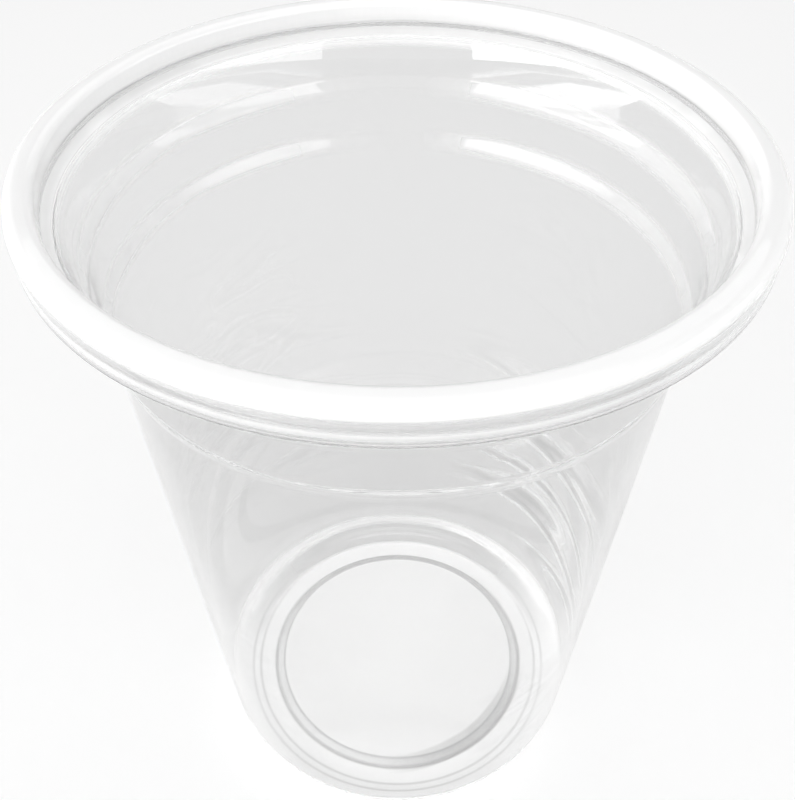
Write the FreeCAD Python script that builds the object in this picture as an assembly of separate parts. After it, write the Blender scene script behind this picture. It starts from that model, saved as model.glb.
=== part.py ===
"""A clear disposable drinking cup, formed as one piece from thin plastic sheet.

Millimetres, +Z up. The origin is the middle of the ring that the cup stands on, at table height.
The cup is one closed section turned about Z. The section follows the face that shows from outside
and from below, and the other face lies one sheet thickness further in.
"""

import FreeCAD, Part
import math
import os

# Overall sizes
mouth_diameter = 98.0        # across the rolled lip
cup_height = 119.0           # table to the crown of the lip
foot_diameter = 67.6         # where the wall would meet the table if the heel were sharp
sheet = 0.4                  # thickness of the formed sheet

# Base
heel_bend = 6.2              # inside radius from the wall to the ring the cup stands on
disc_diameter = 47.4         # raised floor in the middle
disc_rise = 0.6              # underside of the raised floor above the table
riser_run = 1.6              # radial run of the slope from the standing ring up to the floor
riser_bend = 0.4

# Two stacking steps, each a short slope that widens the wall
upper_step_depth = 11.4      # crown of the lip to the top of the upper step
lower_step_depth = 20.8      # crown of the lip to the top of the lower step
step_height = 2.0
step_width = 0.75
step_bend = 4.0

# Flared neck above the upper step, and the lid seat under the lip
neck_flare = 1.6             # how much the neck widens on its way up
seat_depth = 5.4             # crown of the lip to the foot of the seat
seat_height = 1.2
seat_width = 1.5
seat_bend = 0.35

# Rolled lip
lip_width = 3.75             # across the roll
lip_height = 6.0             # crown to the lowest point of the roll
waist_depth = 3.7            # crown of the lip to the shallow waist in its outer face
waist_inset = 0.5            # how far the waist stands in from the widest point
bead_inset = 0.25            # how far the bead under the waist stands in
crown_inner_bend = 0.7
crown_outer_bend = 1.3
waist_bend = 0.8
roll_bend = 0.5              # where the outer face turns in underneath
tuck_gap = 0.35              # between the lip's inner side and the raw edge inside the roll
tuck_height = 1.8            # how far the raw edge stands up inside the roll

# The bends at the two ends of a straight take at most this share of it
bend_share = 0.96


def wall_slope(foot_radius, neck_radius, lower_step, upper_step):
    """Widening of the wall for each millimetre of height, the same below and between the steps."""
    straight_height = lower_step - step_height + upper_step - step_height - lower_step
    return (neck_radius - 2 * step_width - foot_radius) / straight_height


def crown_overhang(waist_drop):
    """How far the sharp outer corner of the lip would stand outside its rounded widest point."""
    lean = math.atan2(waist_inset, waist_drop)
    return crown_outer_bend * (math.tan(lean) + 1 / math.cos(lean) - 1)


def section_corners():
    """Corners of the outside face from the middle of the base to the raw edge: (r, z, inside bend)."""
    crown = cup_height - sheet
    waist = cup_height - waist_depth
    roll_low = cup_height - lip_height + sheet
    lip_outer = mouth_diameter / 2 - sheet + crown_overhang(crown - waist)
    lip_inner = mouth_diameter / 2 - lip_width + sheet
    seat_foot_radius = lip_inner - seat_width
    neck_radius = seat_foot_radius - neck_flare
    foot_radius = foot_diameter / 2
    disc_radius = disc_diameter / 2

    upper_step = cup_height - upper_step_depth
    lower_step = cup_height - lower_step_depth
    seat_foot = cup_height - seat_depth
    slope = wall_slope(foot_radius, neck_radius, lower_step, upper_step)

    lower_foot_radius = foot_radius + slope * (lower_step - step_height)
    lower_top_radius = lower_foot_radius + step_width
    upper_foot_radius = neck_radius - step_width
    tuck_radius = lip_inner + tuck_gap + sheet

    return [
        (0.0, disc_rise, 0.0),
        (disc_radius, disc_rise, riser_bend),
        (disc_radius + riser_run, 0.0, riser_bend),
        (foot_radius, 0.0, heel_bend),
        (lower_foot_radius, lower_step - step_height, step_bend),
        (lower_top_radius, lower_step, step_bend),
        (upper_foot_radius, upper_step - step_height, step_bend),
        (neck_radius, upper_step, step_bend),
        (seat_foot_radius, seat_foot, seat_bend),
        (lip_inner, seat_foot + seat_height, seat_bend),
        (lip_inner, crown, crown_inner_bend),
        (lip_outer, crown, crown_outer_bend),
        (lip_outer - waist_inset, waist, waist_bend),
        (lip_outer - bead_inset, roll_low, roll_bend),
        (tuck_radius, roll_low, roll_bend),
        (tuck_radius, roll_low + tuck_height, 0.0),
    ]


def direction(start, end):
    """Unit vector from one corner to the next."""
    along = FreeCAD.Vector(end[0] - start[0], 0, end[1] - start[1])
    return along.normalize()


def left_normal(along):
    """Unit vector to the left of the way that the section runs, which is into the sheet."""
    return FreeCAD.Vector(-along.z, 0, along.x)


def straight_length(start, end):
    """Distance between two corners."""
    return math.hypot(end[0] - start[0], end[1] - start[1])


def turn_between(arriving, leaving):
    """Angle that the section turns through at a corner, positive to the left."""
    return math.atan2(arriving.x * leaving.z - arriving.z * leaving.x, arriving.dot(leaving))


def bend_reaches(corners, ways):
    """Distance from each corner to where its bend starts, less than asked where two bends would meet."""
    reaches = [0.0]
    for corner, arriving, leaving in zip(corners[1:], ways, ways[1:]):
        turn = turn_between(arriving, leaving)
        outside_radius = corner[2] + sheet if turn > 0 else corner[2]
        reaches.append(outside_radius * math.tan(abs(turn) / 2))
    reaches.append(0.0)
    shares = []
    for start, end, one, other in zip(corners, corners[1:], reaches, reaches[1:]):
        shares.append(min(1.0, bend_share * straight_length(start, end) / (one + other)))
    return [reach * min(before, after) for reach, before, after in zip(reaches[1:], shares, shares[1:])]


def face_edges(corners, offset):
    """Edges of one face of the sheet, offset to the left of the outside face, with its bends rounded."""
    ways = [direction(start, end) for start, end in zip(corners, corners[1:])]
    edges = []
    place = offset_point(corners[0], ways[0], offset)
    for corner, arriving, leaving, reach in zip(corners[1:], ways, ways[1:], bend_reaches(corners, ways)):
        start, middle, end = bend_points(corner, arriving, leaving, reach, offset)
        edges.append(Part.LineSegment(place, start).toShape())
        edges.append(Part.Arc(start, middle, end).toShape())
        place = end
    last = offset_point(corners[-1], ways[-1], offset)
    edges.append(Part.LineSegment(place, last).toShape())
    return edges


def offset_point(corner, along, offset):
    """A free end of the section, moved square to its own straight."""
    return FreeCAD.Vector(corner[0], 0, corner[1]) + left_normal(along) * offset


def bend_points(corner, arriving, leaving, reach, offset):
    """Start, middle and end of the arc that rounds one corner of one face."""
    turn = turn_between(arriving, leaving)
    side = math.copysign(1, turn)
    outside_radius = reach / math.tan(abs(turn) / 2)
    # Both faces of a bend share one centre, on the inside of the turn.
    radius = outside_radius - side * offset
    outside = FreeCAD.Vector(corner[0], 0, corner[1])
    centre = outside - arriving * reach + left_normal(arriving) * (side * outside_radius)
    start = centre - left_normal(arriving) * (side * radius)
    end = centre - left_normal(leaving) * (side * radius)
    halfway = (start + end) * 0.5 - centre
    middle = centre + halfway.normalize() * radius
    return start, middle, end


def make_cup():
    """The whole cup: the section between both faces, turned about Z."""
    corners = section_corners()
    outside = face_edges(corners, 0.0)
    inside = face_edges(corners, sheet)
    bottom = outside[0].Vertexes[0].Point
    floor = inside[0].Vertexes[0].Point
    raw_outside = outside[-1].Vertexes[-1].Point
    raw_inside = inside[-1].Vertexes[-1].Point
    axis_edge = Part.LineSegment(floor, bottom).toShape()
    raw_edge = Part.LineSegment(raw_outside, raw_inside).toShape()
    wire = Part.Wire(outside + [raw_edge] + inside[::-1] + [axis_edge])
    section = Part.Face(wire)
    return section.revolve(FreeCAD.Vector(0, 0, 0), FreeCAD.Vector(0, 0, 1), 360)


def main():
    os.makedirs("parts", exist_ok=True)
    cup = make_cup()
    cup.exportStep("parts/cup.step")
    box = cup.optimalBoundingBox()
    print("cup", cup.ShapeType, "solids", len(cup.Solids), "valid", cup.isValid())
    print("box", box.XLength, box.YLength, box.ZMin, box.ZMax, "volume", cup.Volume)


main()
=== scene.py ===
import math

import bmesh
import bpy
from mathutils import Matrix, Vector


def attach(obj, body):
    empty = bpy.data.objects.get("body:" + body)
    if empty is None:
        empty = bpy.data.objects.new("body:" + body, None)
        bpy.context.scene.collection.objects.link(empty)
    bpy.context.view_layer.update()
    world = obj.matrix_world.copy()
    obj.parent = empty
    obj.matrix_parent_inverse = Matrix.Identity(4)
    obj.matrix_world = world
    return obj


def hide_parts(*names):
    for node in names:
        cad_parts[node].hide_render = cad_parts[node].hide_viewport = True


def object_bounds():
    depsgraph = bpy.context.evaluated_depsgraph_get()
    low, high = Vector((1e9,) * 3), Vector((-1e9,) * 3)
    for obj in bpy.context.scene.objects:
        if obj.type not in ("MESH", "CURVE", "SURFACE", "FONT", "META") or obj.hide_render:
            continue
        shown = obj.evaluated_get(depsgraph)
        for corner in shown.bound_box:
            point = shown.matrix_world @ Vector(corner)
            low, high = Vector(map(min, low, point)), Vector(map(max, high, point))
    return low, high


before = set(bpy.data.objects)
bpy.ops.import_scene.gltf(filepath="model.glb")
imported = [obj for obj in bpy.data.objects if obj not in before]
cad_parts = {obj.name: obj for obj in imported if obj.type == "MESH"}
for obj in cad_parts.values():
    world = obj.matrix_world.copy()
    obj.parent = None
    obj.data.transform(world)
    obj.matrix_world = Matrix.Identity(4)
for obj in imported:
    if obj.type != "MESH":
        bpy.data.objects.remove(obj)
cad_low, cad_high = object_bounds()

MM = 0.001

# The section of the cup, in millimetres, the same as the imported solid's
mouth_radius = cad_high.x / MM
cup_height = cad_high.z / MM
foot_radius = 33.8
sheet = 0.4
heel_bend = 6.2
disc_radius = 23.7
disc_rise = 0.6
riser_run = 1.6
riser_bend = 0.4
upper_step_depth = 11.4
lower_step_depth = 20.8
step_height = 2.0
step_width = 0.75
step_bend = 4.0
neck_flare = 1.6
seat_depth = 5.4
seat_height = 1.2
seat_width = 1.5
seat_bend = 0.35
lip_width = 3.75
lip_height = 6.0
waist_depth = 3.7
waist_inset = 0.5
bead_inset = 0.25
crown_inner_bend = 0.7
crown_outer_bend = 1.3
waist_bend = 0.8
roll_bend = 0.5
tuck_gap = 0.35
tuck_height = 1.8

# How finely the section is turned
turn_steps = 240
bend_step = math.radians(6)
straight_step = 3.0
sharp_edge = math.radians(60)

# The plastic
plastic_ior = 1.49
plastic_roughness = 0.0
shadow_tint = 0.72           # light let through by each face of the sheet
skin_scale = 45.0            # the fine uneven skin
bump_strength = 0.05
bump_distance = 0.0006

# How clear the wall and the lip are and how light their tint, by height in millimetres
clear_by_height = [
    (0.0, 0.9),
    (7.0, 0.93),
    (9.0, 1.0),
    (113.5, 1.0),
    (114.0, 0.6),
    (114.5, 0.6),
    (114.8, 0.96),
    (116.1, 0.96),
    (116.5, 0.45),
    (117.4, 0.25),
    (119.0, 0.2),
]
tint_by_height = [
    (0.0, 0.94),
    (6.0, 0.94),
    (14.0, 0.84),
    (113.5, 0.84),
    (114.0, 0.94),
    (114.6, 0.94),
    (114.9, 0.86),
    (116.1, 0.86),
    (116.5, 0.95),
    (119.0, 0.95),
]
# The lip's marks lie this much lower on its inner side for each millimetre away from its middle
lip_slant = 0.33
lip_middle = 47.0
# Clearness of the wall against how far it is seen along its face
clear_grazing = [(0.75, 1.0), (1.0, 0.5)]

# The steps' painted highlight arcs, laid in as milky patches: by height in millimetres, skin, depth and
# side
step_highlight_by_height = [
    (95.0, 0.0),
    (96.4, 1.0),
    (98.0, 1.0),
    (99.2, 0.0),
    (104.2, 0.0),
    (105.6, 1.0),
    (107.4, 1.0),
    (108.6, 0.0),
]
step_highlight_by_skin = [(0.3, 0.6), (0.65, 1.0)]
step_highlight_by_depth = [(-0.4, 0.25), (0.1, 1.0)]
step_highlight_by_side = [(-1.0, 0.9), (-0.5, 0.6), (-0.1, 0.0), (0.1, 0.0), (0.45, 1.0), (1.0, 1.0)]
step_highlight_clear = 0.4
# The milky lid seat, above the neck and inside the lip, in millimetres
seat_by_height = [(113.8, 0.0), (114.1, 1.0)]
seat_by_radius = [(45.1, 1.0), (45.3, 0.0)]
seat_clear = 0.5

# The base gives way to the wall over these heights, and its front to its back over these depths
wall_share = [(4.5, 0.0), (6.5, 1.0)]
back_share = [(0.0, 0.0), (0.85, 1.0)]
# Clearness and tint across the base, from the raised floor out to the heel, in millimetres: milky plastic
# made whiter to stand for light seen through the base (painted light), darker rings for the dark lines at
# its bends (painted shade), laid out apart in front and behind
clear_behind = [
    (20.0, 0.2),
    (23.4, 0.2),
    (23.8, 0.75),
    (25.0, 0.8),
    (25.4, 0.06),
    (28.6, 0.1),
    (29.4, 0.9),
    (32.6, 0.9),
    (33.1, 0.5),
    (33.5, 0.5),
    (33.9, 0.93),
    (35.0, 0.93),
]
clear_in_front = [
    (20.0, 0.2),
    (23.4, 0.2),
    (23.8, 0.55),
    (25.2, 0.55),
    (25.8, 0.08),
    (33.0, 0.12),
    (35.0, 0.6),
]
tint_behind = [
    (20.0, 0.96),
    (23.5, 0.96),
    (23.8, 0.75),
    (25.0, 0.75),
    (25.4, 1.0),
    (28.9, 1.0),
    (29.5, 0.78),
    (32.4, 0.78),
    (33.0, 0.94),
    (33.6, 0.94),
    (34.0, 0.86),
    (35.0, 0.87),
]
tint_in_front = [
    (20.0, 0.96),
    (23.4, 0.96),
    (23.7, 0.6),
    (24.1, 0.92),
    (24.8, 0.94),
    (25.2, 0.6),
    (25.5, 0.6),
    (25.9, 1.0),
    (28.3, 1.0),
    (28.7, 0.62),
    (29.1, 1.0),
    (29.8, 1.0),
    (30.2, 0.66),
    (30.6, 1.0),
    (35.0, 1.0),
]
# Painted shade: a dark crescent at one side of the riser, widest where it faces this way
riser_shade_facing = (0.643, -0.766, 0.0)
riser_shade_near = [(0.7, 0.0), (0.98, 1.0)]
riser_shade_widening = 1.4
riser_shade_tint = [
    (20.0, 1.0),
    (23.4, 1.0),
    (23.8, 0.7),
    (26.8, 0.7),
    (27.1, 1.0),
    (35.0, 1.0),
]

# Forming lines, partly painted highlights of a wavy wall: noise stretched round the wall, and where it
# shows by height in millimetres, side and depth
streak_scale = (18.0, 18.0, 95.0)
streak_shift = (0.3, 0.7, 0.0)
streak_lean = 10.0           # how much higher the lines reach on the left than in the middle
streak_reach = [(16.0, 0.0), (23.0, 1.0), (45.0, 1.0), (66.0, 0.0)]
streak_by_side = [(-1.0, 0.3), (-0.6, 0.25), (-0.2, 0.0), (0.3, 0.0), (0.75, 1.0), (1.0, 1.0)]
streak_by_depth = [(-0.5, 0.2), (-0.15, 1.0)]
streak_clear = [
    (0.3, 1.0),
    (0.41, 1.0),
    (0.455, 0.45),
    (0.475, 1.0),
    (0.53, 1.0),
    (0.555, 0.5),
    (0.6, 1.0),
]
streak_tint = [(0.3, 1.0), (0.475, 1.0), (0.495, 0.78), (0.515, 0.78), (0.535, 1.0), (0.6, 1.0)]

# The studio, in metres; a level of 1 is white
floor_radius = 1.5
floor_grey = 0.97
floor_roughness = 0.9
floor_white = 0.5            # share of plain white in the floor where it is seen
room_light = 0.2
room_seen = 0.9
lamp_aim = (0, 0, 0.09)
lamps = [
    # name, place, width, height, level
    ("overhead", (0, 0.0, 1.3), 1.58, 1.24, 0.75),
    ("softbox_front", (0, -0.72, 1.06), 1.8, 0.79, 1.95),
    ("softbox_back", (0, 0.75, 0.95), 1.47, 0.68, 1.0),
    ("window_left", (-1.56, -0.66, 0.38), 2.8, 0.8, 4.3),
    ("window_right", (1.56, -0.66, 0.38), 2.8, 0.8, 2.3),
]
camera_lens = 44.34
camera_place = (0, -0.11387, 0.18198)
camera_drop = 43.634         # degrees below the horizon


def section_corners():
    """Corners of the outside face from the middle of the base to the raw edge: (r, z, inside bend)."""
    crown = cup_height - sheet
    waist = cup_height - waist_depth
    roll_low = cup_height - lip_height + sheet
    lean = math.atan2(waist_inset, crown - waist)
    overhang = crown_outer_bend * (math.tan(lean) + 1 / math.cos(lean) - 1)
    lip_outer = mouth_radius - sheet + overhang
    lip_inner = mouth_radius - lip_width + sheet
    seat_foot_radius = lip_inner - seat_width
    neck_radius = seat_foot_radius - neck_flare
    upper_step = cup_height - upper_step_depth
    lower_step = cup_height - lower_step_depth
    seat_foot = cup_height - seat_depth
    straight_height = upper_step - 2 * step_height
    slope = (neck_radius - 2 * step_width - foot_radius) / straight_height
    lower_foot_radius = foot_radius + slope * (lower_step - step_height)
    tuck_radius = lip_inner + tuck_gap + sheet
    return [
        (0.0, disc_rise, 0.0),
        (disc_radius, disc_rise, riser_bend),
        (disc_radius + riser_run, 0.0, riser_bend),
        (foot_radius, 0.0, heel_bend),
        (lower_foot_radius, lower_step - step_height, step_bend),
        (lower_foot_radius + step_width, lower_step, step_bend),
        (neck_radius - step_width, upper_step - step_height, step_bend),
        (neck_radius, upper_step, step_bend),
        (seat_foot_radius, seat_foot, seat_bend),
        (lip_inner, seat_foot + seat_height, seat_bend),
        (lip_inner, crown, crown_inner_bend),
        (lip_outer, crown, crown_outer_bend),
        (lip_outer - waist_inset, waist, waist_bend),
        (lip_outer - bead_inset, roll_low, roll_bend),
        (tuck_radius, roll_low, roll_bend),
        (tuck_radius, roll_low + tuck_height, 0.0),
    ]


def left_of(along):
    """Unit vector to the left of the section's way, which is into the sheet."""
    return Vector((-along.y, along.x))


def bend_points(corner, arriving, leaving, offset):
    """Points along the arc that rounds one corner of one face."""
    turn = math.atan2(arriving.x * leaving.y - arriving.y * leaving.x, arriving.dot(leaving))
    side = 1 if turn > 0 else -1
    path_radius = corner[2] + sheet if turn > 0 else corner[2]
    radius = path_radius - offset if turn > 0 else path_radius + offset
    reach = path_radius * math.tan(abs(turn) / 2)
    centre = Vector(corner[:2]) - arriving * reach + left_of(arriving) * (side * path_radius)
    start = math.atan2(-side * left_of(arriving).y, -side * left_of(arriving).x)
    steps = max(3, round(abs(turn) / bend_step))
    points = []
    for step in range(steps + 1):
        angle = start + turn * step / steps
        points.append(centre + Vector((math.cos(angle), math.sin(angle))) * radius)
    return points


def face_points(corners, offset):
    """One face of the sheet as points (r, z), from the middle of the base to the raw edge."""
    places = [Vector(corner[:2]) for corner in corners]
    ways = [(end - start).normalized() for start, end in zip(places, places[1:])]
    runs = [[places[0] + left_of(ways[0]) * offset]]
    for corner, arriving, leaving in zip(corners[1:], ways, ways[1:]):
        runs.append(bend_points(corner, arriving, leaving, offset))
    runs.append([places[-1] + left_of(ways[-1]) * offset])
    points = list(runs[0])
    for run in runs[1:]:
        start, end = points[-1], run[0]
        parts = max(1, round((end - start).length / straight_step))
        points += [start.lerp(end, part / parts) for part in range(1, parts)]
        points += run
    return points


def add_ring(bm, radius, height):
    """The vertices where one point of the section goes round: one on the axis, a ring elsewhere."""
    if radius < 1e-6:
        return [bm.verts.new((0, 0, height * MM))]
    ring = []
    for step in range(turn_steps):
        angle = 2 * math.pi * step / turn_steps
        across, along = radius * math.cos(angle), radius * math.sin(angle)
        ring.append(bm.verts.new((across * MM, along * MM, height * MM)))
    return ring


def build_shell():
    """The cup as one closed mesh."""
    corners = section_corners()
    outside = face_points(corners, 0.0)
    inside = face_points(corners, sheet)
    mesh = bpy.data.meshes.new("cup_shell")
    bm = bmesh.new()
    rings = [add_ring(bm, radius, height) for radius, height in outside + inside[::-1]]
    for low, high in zip(rings, rings[1:]):
        for step in range(turn_steps):
            after = (step + 1) % turn_steps
            if len(low) == 1:
                corner_verts = [low[0], high[after], high[step]]
            elif len(high) == 1:
                corner_verts = [low[step], low[after], high[0]]
            else:
                corner_verts = [low[step], low[after], high[after], high[step]]
            bm.faces.new(corner_verts).smooth = True
    bmesh.ops.recalc_face_normals(bm, faces=bm.faces)
    bm.to_mesh(mesh)
    bm.free()
    mesh.set_sharp_from_angle(angle=sharp_edge)
    shell = bpy.data.objects.new("cup_shell", mesh)
    bpy.context.collection.objects.link(shell)
    return shell


def grey_ramp(tree, source, stops):
    """A grey that follows the source through stops of (source value, grey)."""
    first, last = stops[0][0], stops[-1][0]
    spread = tree.nodes.new("ShaderNodeMapRange")
    spread.inputs["From Min"].default_value = first
    spread.inputs["From Max"].default_value = last
    tree.links.new(source, spread.inputs["Value"])
    shade = tree.nodes.new("ShaderNodeValToRGB")
    tree.links.new(spread.outputs["Result"], shade.inputs["Fac"])
    marks = shade.color_ramp.elements
    marks[0].color = (*[stops[0][1]] * 3, 1)
    marks[1].color = (*[stops[-1][1]] * 3, 1)
    for value, grey in stops[1:-1]:
        mark = marks.new((value - first) / (last - first))
        mark.color = (grey, grey, grey, 1)
    return shade.outputs["Color"]


def mm_ramp(tree, length, stops):
    """A grey that follows a length in metres through stops of (millimetres, grey)."""
    return grey_ramp(tree, length, [(mm * MM, grey) for mm, grey in stops])


def mixed(tree, share, one, other):
    """One grey where the share is 0 and the other where it is 1; each grey is a socket or a number."""
    mixer = tree.nodes.new("ShaderNodeMix")
    tree.links.new(share, mixer.inputs[0])
    for grey, socket in ((one, mixer.inputs[2]), (other, mixer.inputs[3])):
        if isinstance(grey, (int, float)):
            socket.default_value = grey
        else:
            tree.links.new(grey, socket)
    return mixer.outputs[0]


def math_node(tree, operation, one, other=None):
    """The result of one sum on one or two sockets; the second may be a number."""
    node = tree.nodes.new("ShaderNodeMath")
    node.operation = operation
    tree.links.new(one, node.inputs[0])
    if isinstance(other, (int, float)):
        node.inputs[1].default_value = other
    elif other is not None:
        tree.links.new(other, node.inputs[1])
    return node.outputs["Value"]


def product(tree, result, *factors):
    """The product of a socket and further sockets or numbers."""
    for factor in factors:
        result = math_node(tree, "MULTIPLY", result, factor)
    return result


def noise(tree, place, scale, detail):
    """Soft uneven greys round 0.5."""
    cloud = tree.nodes.new("ShaderNodeTexNoise")
    cloud.inputs["Scale"].default_value = scale
    cloud.inputs["Detail"].default_value = detail
    tree.links.new(place, cloud.inputs["Vector"])
    return cloud.outputs["Fac"]


def cup_places(tree):
    """A point's place, height and radius, and its side and depth from -1 (left, front) to 1."""
    place = tree.nodes.new("ShaderNodeTexCoord").outputs["Object"]
    split = tree.nodes.new("ShaderNodeSeparateXYZ")
    tree.links.new(place, split.inputs["Vector"])
    across, along, height = split.outputs["X"], split.outputs["Y"], split.outputs["Z"]
    squares = math_node(tree, "ADD", product(tree, across, across), product(tree, along, along))
    radius = math_node(tree, "SQRT", squares)
    side = math_node(tree, "DIVIDE", across, radius)
    depth = math_node(tree, "DIVIDE", along, radius)
    return place, height, radius, side, depth


def streaks_and_painted_reflections(tree, place, height, side, depth):
    """Long uneven forming lines round the wall, partly painted highlights of a wavy wall: (clearness,
    tint), strongest low on the right.
    """
    stretch = tree.nodes.new("ShaderNodeMapping")
    stretch.inputs["Location"].default_value = streak_shift
    stretch.inputs["Scale"].default_value = streak_scale
    tree.links.new(place, stretch.inputs["Vector"])
    grain = noise(tree, stretch.outputs["Vector"], 1.0, 1.0)
    reach = math_node(tree, "ADD", height, product(tree, side, streak_lean * MM))
    strength = product(
        tree,
        mm_ramp(tree, reach, streak_reach),
        grey_ramp(tree, side, streak_by_side),
        grey_ramp(tree, depth, streak_by_depth),
    )
    clear = mixed(tree, strength, 1.0, grey_ramp(tree, grain, streak_clear))
    tint = mixed(tree, strength, 1.0, grey_ramp(tree, grain, streak_tint))
    return clear, tint


def painted_riser_shade(tree, place, radius):
    """The tint of the riser's painted shade, a dark crescent at its front right."""
    way = tree.nodes.new("ShaderNodeVectorMath")
    way.operation = "NORMALIZE"
    tree.links.new(place, way.inputs[0])
    facing = tree.nodes.new("ShaderNodeVectorMath")
    facing.operation = "DOT_PRODUCT"
    facing.inputs[1].default_value = riser_shade_facing
    tree.links.new(way.outputs["Vector"], facing.inputs[0])
    near = grey_ramp(tree, facing.outputs["Value"], riser_shade_near)
    widened = math_node(tree, "ADD", radius, product(tree, near, riser_shade_widening * MM))
    return mixed(tree, near, 1.0, mm_ramp(tree, widened, riser_shade_tint))


def base_light_and_shade(tree, place, radius, depth):
    """Clearness and tint across the base, with painted light and shade set apart in front and behind."""
    at_back = grey_ramp(tree, depth, back_share)
    clear = mixed(tree, at_back, mm_ramp(tree, radius, clear_in_front), mm_ramp(tree, radius, clear_behind))
    tint = mixed(tree, at_back, mm_ramp(tree, radius, tint_in_front), mm_ramp(tree, radius, tint_behind))
    # The riser's painted shade darkens the base's tint at its front right
    return clear, product(tree, tint, painted_riser_shade(tree, place, radius))


def wall_greys(tree, skin, height, radius, side, depth):
    """Clearness and tint over the height of the wall and the lip, with painted highlight arcs on the steps.
    """
    slant = product(tree, math_node(tree, "SUBTRACT", radius, lip_middle * MM), lip_slant)
    level = math_node(tree, "SUBTRACT", height, slant)
    clear = mm_ramp(tree, level, clear_by_height)
    tint = mm_ramp(tree, level, tint_by_height)
    # The steps carry painted highlight arcs as uneven milky patches on both sides, clear in the middle and
    # in front
    on_step_highlight = product(
        tree,
        mm_ramp(tree, height, step_highlight_by_height),
        grey_ramp(tree, skin, step_highlight_by_skin),
        grey_ramp(tree, depth, step_highlight_by_depth),
        grey_ramp(tree, side, step_highlight_by_side),
    )
    clear = mixed(tree, on_step_highlight, clear, step_highlight_clear)
    on_seat = product(tree, mm_ramp(tree, height, seat_by_height), mm_ramp(tree, radius, seat_by_radius))
    clear = mixed(tree, on_seat, clear, seat_clear)
    # The wall looks milkier where it is seen along its face
    grazing = tree.nodes.new("ShaderNodeLayerWeight").outputs["Facing"]
    return product(tree, clear, grey_ramp(tree, grazing, clear_grazing)), tint


def plastic_material():
    """Clear sheet, milkier at the lip and the base, with painted light and shade on the base and steps,
    forming lines that are partly painted highlights, and a fine uneven skin.
    """
    material = bpy.data.materials.new("clear_plastic")
    material.use_nodes = True
    tree = material.node_tree
    nodes, links = tree.nodes, tree.links
    shader = nodes["Principled BSDF"]
    shader.inputs["IOR"].default_value = plastic_ior
    shader.inputs["Roughness"].default_value = plastic_roughness

    place, height, radius, side, depth = cup_places(tree)
    skin = noise(tree, place, skin_scale, 0.0)
    wall_clear, wall_tint = wall_greys(tree, skin, height, radius, side, depth)
    # Painted light and shade on the base: milky white for light seen through it, darker rings at its bends
    base_clear, base_tint = base_light_and_shade(tree, place, radius, depth)
    # Forming lines, partly painted highlights of a wavy wall
    line_clear, line_tint = streaks_and_painted_reflections(tree, place, height, side, depth)
    on_wall = mm_ramp(tree, height, wall_share)
    clear = product(tree, mixed(tree, on_wall, base_clear, wall_clear), line_clear)
    tint = product(tree, mixed(tree, on_wall, base_tint, wall_tint), line_tint)
    links.new(clear, shader.inputs["Transmission Weight"])
    links.new(tint, shader.inputs["Base Color"])

    bump = nodes.new("ShaderNodeBump")
    bump.inputs["Strength"].default_value = bump_strength
    bump.inputs["Distance"].default_value = bump_distance
    links.new(skin, bump.inputs["Height"])
    links.new(bump.outputs["Normal"], shader.inputs["Normal"])

    # Light for shadows passes straight through the sheet
    through = nodes.new("ShaderNodeBsdfTransparent")
    through.inputs["Color"].default_value = (shadow_tint, shadow_tint, shadow_tint, 1)
    path = nodes.new("ShaderNodeLightPath")
    mixer = nodes.new("ShaderNodeMixShader")
    links.new(path.outputs["Is Shadow Ray"], mixer.inputs["Fac"])
    links.new(shader.outputs["BSDF"], mixer.inputs[1])
    links.new(through.outputs["BSDF"], mixer.inputs[2])
    links.new(mixer.outputs["Shader"], nodes["Material Output"].inputs["Surface"])
    return material


def seen_ray(tree):
    """1 for a ray that looks at a thing straight, in a reflection or through the cup."""
    path = tree.nodes.new("ShaderNodeLightPath")
    seen = math_node(tree, "MAXIMUM", path.outputs["Is Camera Ray"], path.outputs["Is Glossy Ray"])
    return math_node(tree, "MAXIMUM", seen, path.outputs["Is Transmission Ray"])


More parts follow.
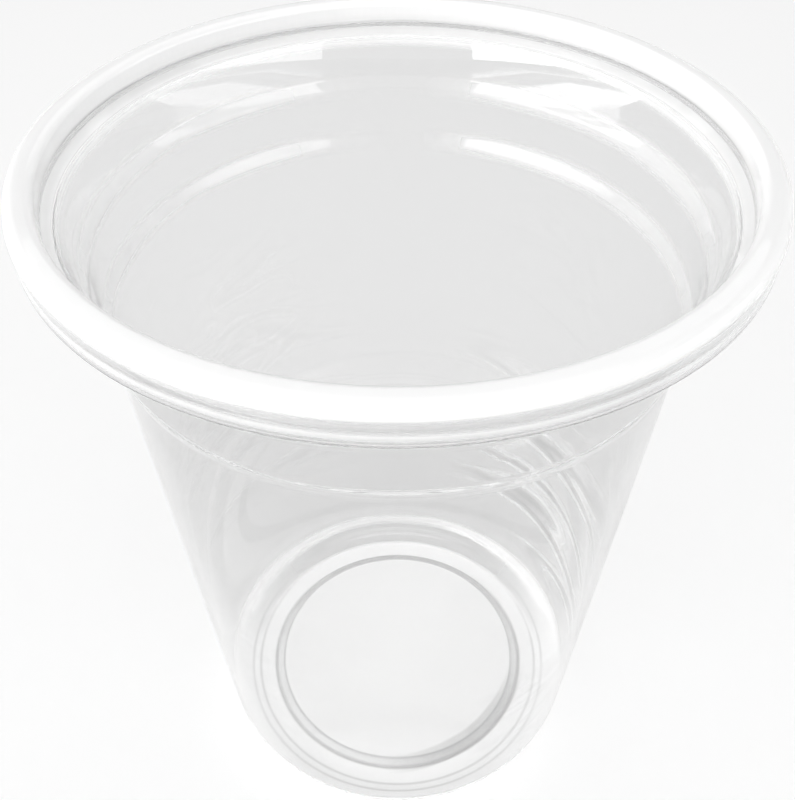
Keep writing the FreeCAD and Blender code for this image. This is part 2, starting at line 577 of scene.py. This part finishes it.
def floor_material():
    """Plain pale floor that keeps the cup's shadow and looks half way to white."""
    material = bpy.data.materials.new("floor_paper")
    material.use_nodes = True
    tree = material.node_tree
    shader = tree.nodes["Principled BSDF"]
    shader.inputs["Base Color"].default_value = (floor_grey, floor_grey, floor_grey, 1)
    shader.inputs["Roughness"].default_value = floor_roughness
    white = tree.nodes.new("ShaderNodeEmission")
    mixer = tree.nodes.new("ShaderNodeMixShader")
    tree.links.new(product(tree, seen_ray(tree), floor_white), mixer.inputs["Fac"])
    tree.links.new(shader.outputs["BSDF"], mixer.inputs[1])
    tree.links.new(white.outputs["Emission"], mixer.inputs[2])
    tree.links.new(mixer.outputs["Shader"], tree.nodes["Material Output"].inputs["Surface"])
    material.cycles.emission_sampling = "NONE"
    return material


def build_floor():
    """A wide round floor at the height that the cup stands on."""
    mesh = bpy.data.meshes.new("floor")
    bm = bmesh.new()
    bmesh.ops.create_circle(bm, cap_ends=True, segments=96, radius=floor_radius)
    bm.to_mesh(mesh)
    bm.free()
    floor = bpy.data.objects.new("floor", mesh)
    bpy.context.collection.objects.link(floor)
    floor.data.materials.append(floor_material())


def build_room():
    """An even room, dim as a light and pale where it is seen."""
    world = bpy.data.worlds.new("room")
    world.use_nodes = True
    tree = world.node_tree
    room = tree.nodes["Background"]
    room.inputs["Color"].default_value = (1, 1, 1, 1)
    extra = product(tree, seen_ray(tree), room_seen - room_light)
    tree.links.new(math_node(tree, "ADD", extra, room_light), room.inputs["Strength"])
    world.cycles.sampling_method = "NONE"
    bpy.context.scene.world = world


def add_lamp(name, place, wide, tall, level):
    """An oval area lamp that faces the cup, its own surface at the level."""
    lamp = bpy.data.lights.new(name, "AREA")
    lamp.shape = "ELLIPSE"
    lamp.size = wide
    lamp.size_y = tall
    lamp.energy = level * math.pi * (math.pi / 4 * wide * tall)
    box = bpy.data.objects.new(name, lamp)
    bpy.context.collection.objects.link(box)
    box.location = place
    box.rotation_euler = (Vector(lamp_aim) - Vector(place)).to_track_quat("-Z", "Y").to_euler()


def build_camera():
    """The photograph's viewpoint: above and in front of the mouth, looking down."""
    camera = bpy.data.cameras.new("camera")
    camera.sensor_width = 36
    camera.lens = camera_lens
    camera.clip_start = 0.005
    view = bpy.data.objects.new("camera", camera)
    bpy.context.collection.objects.link(view)
    view.location = camera_place
    view.rotation_euler = (math.radians(90 - camera_drop), 0, 0)
    bpy.context.scene.camera = view


build_camera()
shell = build_shell()
shell.data.materials.append(plastic_material())
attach(shell, "root")
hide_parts("cup")
build_floor()
build_room()
for name, place, wide, tall, level in lamps:
    add_lamp(name, place, wide, tall, level)

bpy.context.scene.view_settings.view_transform = "Standard"
